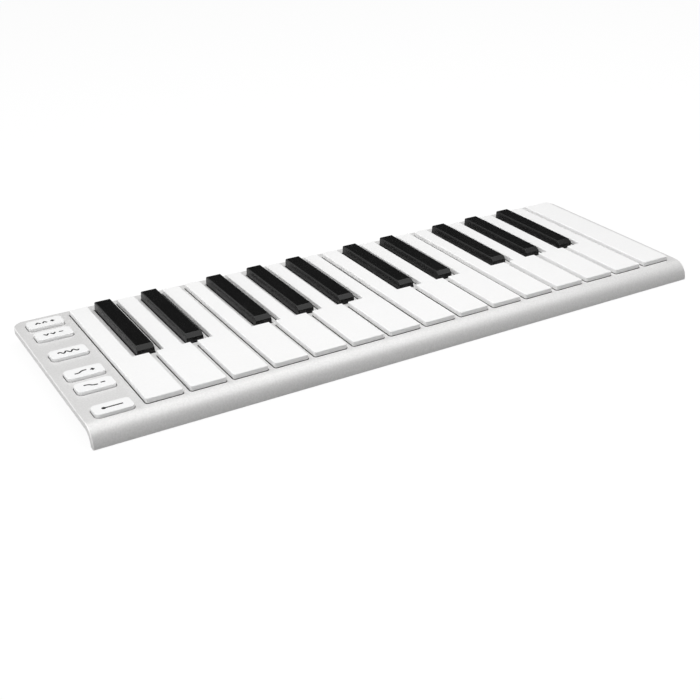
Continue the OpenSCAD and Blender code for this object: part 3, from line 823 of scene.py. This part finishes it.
def make_case_screws():
    low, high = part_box("case_screws")
    neck = low.z + SCREW_HEAD_HEIGHT
    screw = add_disc("screw", SCREW_HEAD_RADIUS, low.z, neck)
    edit(screw, "FACE", looks_up)
    bpy.ops.mesh.inset(thickness=SCREW_HEAD_RADIUS - SCREW_RADIUS)
    push((0, 0, high.z - SCREW_TIP - neck))
    push((0, 0, SCREW_TIP))
    bpy.ops.transform.resize(value=(SCREW_TIP_SHARE, SCREW_TIP_SHARE, 1))
    close_edit()
    round_foot(screw, SCREW_ROUND)
    # cross recess for the driver, narrower at its end; its cutter starts well below the head
    below = -low.z
    deep = low.z + RECESS_DEPTH
    cutter = join([
        add_box("bar", (-RECESS_REACH, -RECESS_HALF, below), (RECESS_REACH, RECESS_HALF, deep)),
        add_box("bar", (-RECESS_HALF, -RECESS_REACH, below), (RECESS_HALF, RECESS_REACH, deep))])
    edit(cutter, "FACE", looks_up)
    bpy.ops.transform.resize(value=(RECESS_TAPER, RECESS_TAPER, 1))
    close_edit()
    carve(screw, cutter)
    set_out(screw, "screw_set", "case_screws", STEEL)


def make_feet():
    low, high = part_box("rubber_feet")
    foot = add_disc("foot", FOOT_RADIUS, low.z, high.z)
    edit(foot, "FACE", lambda face: face.normal.z < -FACING)
    bpy.ops.mesh.inset(thickness=FOOT_BORDER)
    bpy.ops.mesh.inset(thickness=FOOT_SLOPE)
    bpy.ops.transform.translate(value=(0, 0, FOOT_DISH))
    close_edit()
    round_foot(foot, FOOT_ROUND)
    set_out(foot, "foot_set", "rubber_feet", FOOT_RUBBER)


make_case_screws()
make_feet()


# Inner pieces under the keys and buttons
def cut_across(piece, y, **cleared):
    """Cuts a piece at a place along Y; cleared says which side is taken off."""
    edit(piece, "FACE", lambda face: True)
    bpy.ops.mesh.bisect(plane_co=(0, y, 0), plane_no=(0, 1, 0), threshold=NEAR,
                        use_fill=bool(cleared), **cleared)
    close_edit()


def key_over(x):
    """The key whose tail is above a place along the comb."""
    for name in [*SHARPS.values(), *WHITES]:
        low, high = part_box(name)
        if low.x < x < high.x:
            return name


def make_springs():
    """The strip of the spring comb, and one finger for each key, named after the key above it."""
    low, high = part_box("return_springs")
    strip = copy_of("return_springs", "spring_strip")
    corners = [v.co.copy() for v in strip.data.vertices]
    root = min(point.y for point in corners if point.z < low.z + NEAR) - SPRING_ROOT_GAP
    crest = max(point.y for point in corners if point.z > high.z - NEAR)
    comb = copy_piece(strip, "comb")
    cut_across(strip, root, clear_inner=True)
    finish_piece(strip, STEEL, "case")
    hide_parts("return_springs")
    cut_across(comb, root, clear_outer=True)
    for step in range(1, SPRING_STEPS):
        cut_across(comb, root + (crest - root) * step / SPRING_STEPS)
    take(comb)
    bpy.ops.mesh.separate(type="LOOSE")
    for finger in list(bpy.context.selected_objects):
        xs = [v.co.x for v in finger.data.vertices]
        middle = (min(xs) + max(xs)) / 2
        key = key_over(middle)
        finger.name = key.replace("key", "spring", 1)
        dress(finger, STEEL)
        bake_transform(finger)
        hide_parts("return_springs")


def make_domes():
    """Rubber domes under the buttons."""
    low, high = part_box("button_domes")
    pattern = add_disc("dome", DOME_FOOT, low.z, low.z + DOME_FLANGE)
    edit(pattern, "FACE", looks_up)
    bpy.ops.mesh.inset(thickness=DOME_FLANGE)
    push((0, 0, high.z - low.z - 2 * DOME_FLANGE))
    share = DOME_CROWN / (DOME_FOOT - DOME_FLANGE)
    bpy.ops.transform.resize(value=(share, share, 1))
    push((0, 0, DOME_FLANGE))
    close_edit()

    def is_crown_edge(edge):
        return is_crease(edge, CREASE) and min(v.co.z for v in edge.verts) > high.z - NEAR

    round_edges(pattern, is_crown_edge, DOME_FLANGE / 2, segments=3)
    for name in BUTTONS:
        x, y = middle_of(name)
        dome = copy_piece(pattern, name.replace("button", "dome"), x, y)
        finish_piece(dome, DOME_SILICONE, "case")
        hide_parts("button_domes")
        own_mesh(dome)
    bpy.data.objects.remove(pattern)


make_springs()
make_domes()

# Studio: a white floor, a soft light overhead and a pale horizon; sizes in metres
FLOOR_SIZE = 16
CARD_START = -0.20
CARD_FULL = -0.23
DARK_FLOOR = 0.02
PALE_CARD = 0.9
LEFT = (-0.97, 0.24, 0)
FRONT_RIGHT = (0.6, -0.8, 0)


def make_floor():
    """A floor that the camera, metal and glass see white, and that sends little light back up."""
    bpy.ops.object.select_all(action="DESELECT")
    bpy.ops.mesh.primitive_plane_add(size=FLOOR_SIZE)
    floor = settle("studio_floor")
    material = bpy.data.materials.new("studio_floor")
    material.use_nodes = True
    tree = material.node_tree
    tree.nodes.remove(tree.nodes["Principled BSDF"])
    ray = put(tree, "ShaderNodeLightPath")
    direct = combine(tree, "MAXIMUM", ray, "Is Camera Ray", ray, "Is Glossy Ray")
    shown = combine(tree, "MAXIMUM", direct, "Value", ray, "Is Transmission Ray")
    # seen directly: a white glow, and a little paper that keeps the object's shadow
    glow = put(tree, "ShaderNodeEmission", {"Color": grey(1.0), "Strength": 0.94})
    paper = put(tree, "ShaderNodeBsdfDiffuse", {"Color": grey(0.07)})
    bright = put(tree, "ShaderNodeAddShader")
    wire(tree, glow, "Emission", bright, 0)
    wire(tree, paper, "BSDF", bright, 1)
    # met by soft light: a dark floor, and a pale card left of the object that lightens its end
    card = spread(tree, place_parts(tree), "X", CARD_START, CARD_FULL, DARK_FLOOR, PALE_CARD)
    dim = put(tree, "ShaderNodeBsdfDiffuse")
    wire(tree, card, "Result", dim, "Color")
    choice = put(tree, "ShaderNodeMixShader")
    wire(tree, shown, "Value", choice, 0)
    wire(tree, dim, "BSDF", choice, 1)
    wire(tree, bright, "Shader", choice, 2)
    wire(tree, choice, "Shader", tree.nodes["Material Output"], "Surface")
    floor.data.materials.append(material)


def fading(tree, direction, clear, faded, shade, glow=1.0):
    """A glow that is even up to one height above the horizon and fades to a shade at another."""
    ramp = put(tree, "ShaderNodeValToRGB")
    even, dim = ramp.color_ramp.elements
    even.position = clear
    even.color = grey(glow)
    dim.position = faded
    dim.color = grey(shade)
    wire(tree, direction, "Z", ramp, "Fac")
    return ramp


def toward(tree, place, heading, first, full):
    """A factor that grows from zero to one as a direction turns to a heading."""
    facing = put(tree, "ShaderNodeVectorMath", {1: heading}, operation="DOT_PRODUCT")
    wire(tree, place, "Generated", facing, 0)
    return spread(tree, facing, "Value", first, full)


def make_horizon():
    """A white horizon that reaches high on the left, with a dim glow in front, and is low elsewhere."""
    world = bpy.data.worlds.new("studio")
    world.use_nodes = True
    scene.world = world
    tree = world.node_tree
    place = put(tree, "ShaderNodeTexCoord")
    direction = put(tree, "ShaderNodeSeparateXYZ")
    wire(tree, place, "Generated", direction, "Vector")
    low_glow = fading(tree, direction, clear=0.04, faded=0.12, shade=0.03)
    left_glow = fading(tree, direction, clear=0.45, faded=0.75, shade=0.08)
    front_glow = fading(tree, direction, clear=0.55, faded=0.9, shade=0.08, glow=0.3)
    sides = mixer(tree)
    wire(tree, toward(tree, place, LEFT, first=0.25, full=0.65), "Result", sides, MIX_FACTOR)
    wire(tree, low_glow, "Color", sides, MIX_A)
    wire(tree, left_glow, "Color", sides, MIX_B)
    around = mixer(tree, blend_type="LIGHTEN")
    wire(tree, toward(tree, place, FRONT_RIGHT, first=0.25, full=0.7), "Result", around, MIX_FACTOR)
    wire(tree, sides, MIX_RESULT, around, MIX_A)
    wire(tree, front_glow, "Color", around, MIX_B)
    wire(tree, around, MIX_RESULT, tree.nodes["Background"], "Color")


def make_softbox():
    bpy.ops.object.light_add(type="AREA", location=(0.02, -0.03, 0.9))
    softbox = bpy.context.object
    softbox.name = "overhead_softbox"
    softbox.data.shape = "RECTANGLE"
    softbox.data.size = 1.6
    softbox.data.size_y = 1.15
    softbox.data.energy = 12.8


make_floor()
make_horizon()
make_softbox()
